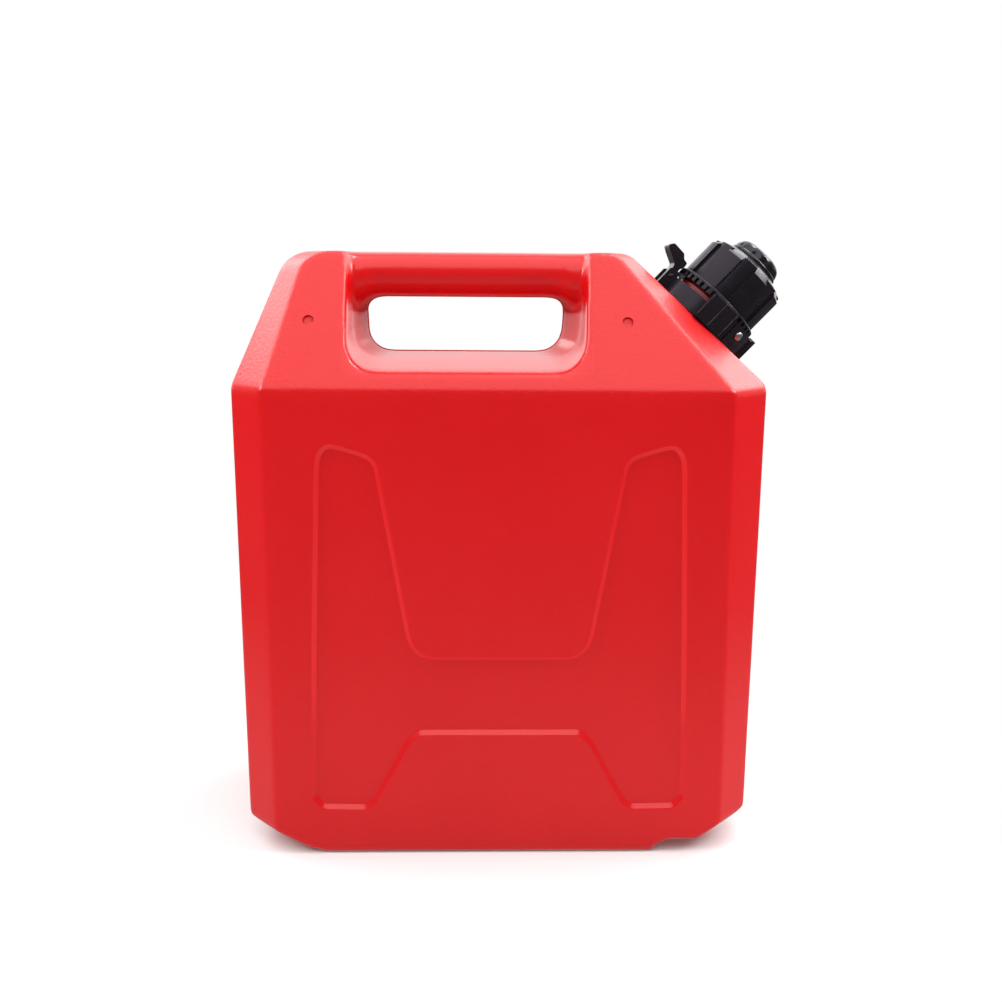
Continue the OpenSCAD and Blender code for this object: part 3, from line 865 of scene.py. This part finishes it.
rubber, shader, place = finish("nitrile_rubber", specular_ior_level=0.35)
bloom = noise(place, 0.006, 4, 0.6)
feed(shader,
     base_color=bloom.ramp(0.4, 0.75).blend((0.014, 0.014, 0.014, 1), (0.035, 0.034, 0.033, 1)),
     roughness=0.62 + bloom * 0.2,
     normal=bumps(noise(place, 0.0006, 2), 0.0001, 0.4))
dress("pour_spout", black_plastic)
dress("flange_gasket", rubber)

# Screw collar: a moulded black nut with eight grip lobes, forty ratchet teeth under its rim and a mouth
# for the outlet stub. It screws onto the neck and clamps the spout's flange.
TEETH, LOBES = 40, 8
collar = turned("screw_collar", [(24.1, 15), (24.5, 14.6), (28.7, 14.6), (28.7, 18.5), (28.3, 18.9),
                                 (27.2, 18.9), (27, 19.2), (27, 43.1), (25, 44), (18.2, 46.9),
                                 (17.2, 47.5), (16.2, 47.5), (15.8, 47.1), (15.8, 43.3), (22.8, 42.6),
                                 (24.1, 41.3), (24.1, 15)], 160)


def around(piece, count):
    """Copies of a piece in a ring round the Z axis, joined in one."""
    copies = []
    for k in range(1, count):
        copy = duplicate(piece, piece.name)
        copy.rotation_euler = (0, 0, 2 * pi * k / count)
        place_in_mesh(copy)
        copies.append(copy)
    join(piece, *copies)
    return piece


tooth_gap = block("tooth_gap", mm(26.6, -1.05, 14), mm(31, 1.05, 17.6))
tooth_gap.rotation_euler = (0, 0, radians(360 / TEETH * 0.9))
place_in_mesh(tooth_gap)
carve(collar, around(tooth_gap, TEETH))

# straight hollows between the lobes, and a flat chamfer over each lobe
lobe = 2 * pi / LOBES
hollow = tube("grip_hollow", 25.3, 32, 19.8, 46)
chamfer = turned("lobe_chamfer", [(32, 35.9), (32, 50), (17.9, 50), (32, 35.9)], 160)
for cutter, middle, reach in ((hollow, radians(32.5), lobe / 4), (chamfer, radians(10), lobe / 3.9)):
    edit(cutter)
    for side in (-1, 1):
        edge = middle + side * reach
        cut((0, 0, 0), (-sin(edge) * side, cos(edge) * side, 0), use_fill=True, clear_outer=True)
    choose(cutter, "vertices", lambda v: v.co.x < 0)
    bpy.ops.mesh.delete(type="VERT")
    done()
    carve(collar, around(cutter, LOBES))
on_neck(collar)
break_edges(collar, 0.3)
coat(collar, black_plastic)
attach(collar, "collar")
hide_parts("screw_collar")

# Cap liner: a disc of white foam, punched from sheet and pressed into the outlet cap, where it seals the
# stub's rim.
foam, shader, place = finish("liner_foam", specular_ior_level=0.2)
cells = place.node("ShaderNodeTexVoronoi", {"Vector": place, "Scale": 1 / 0.0006})
feed(shader,
     base_color=cells.ramp(0.0, 0.7).blend((0.62, 0.61, 0.57, 1), (0.8, 0.79, 0.76, 1)),
     roughness=0.75 + cells * 0.15,
     normal=bumps(cells, 0.0001, 0.5))
dress("cap_liner", foam)

# Outlet cap: a small moulded cap of glossy black plastic, with a base flange, a chamfered crown and
# sixteen flutes for the fingers. It screws onto the stub of the stored spout.
FLUTES = 16
cap = turned("outlet_cap", [(1, 54.4), (13.3, 54.4), (13.3, 48.2), (13.7, 47.8), (16.1, 47.8),
                            (16.4, 48.1), (16.4, 49), (16.1, 49.5), (15.6, 49.8), (15.5, 50.2),
                            (15.3, 51.4), (14.8, 52.8), (14.1, 54.1), (13.4, 54.9), (12.6, 55.4),
                            (11.4, 55.9), (10.6, 56.1), (10.1, 55.9), (9.7, 55.7), (1, 55.6)], 128)
carve(cap, around(drilled(5, (19.7, 0, 53.2), (0, 0, 1), 6), FLUTES))
on_neck(cap)
break_edges(cap, 0.25)
gloss_black, shader, place = finish("gloss_black_plastic", specular_ior_level=0.42,
                                    specular_tint=(0.93, 0.88, 1, 1))
smudge = noise(place, 0.006, 3, 0.6)
feed(shader,
     base_color=smudge.ramp(0.3, 0.75).blend((0.006, 0.006, 0.0078, 1), (0.010, 0.010, 0.012, 1)),
     roughness=0.13 + smudge.ramp(0.4, 0.8) * 0.16,
     normal=bumps(noise(place, 0.0022, 2) * 0.5, 0.0002, 0.4))
coat(cap, gloss_black)
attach(cap, "cap")
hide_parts("outlet_cap")
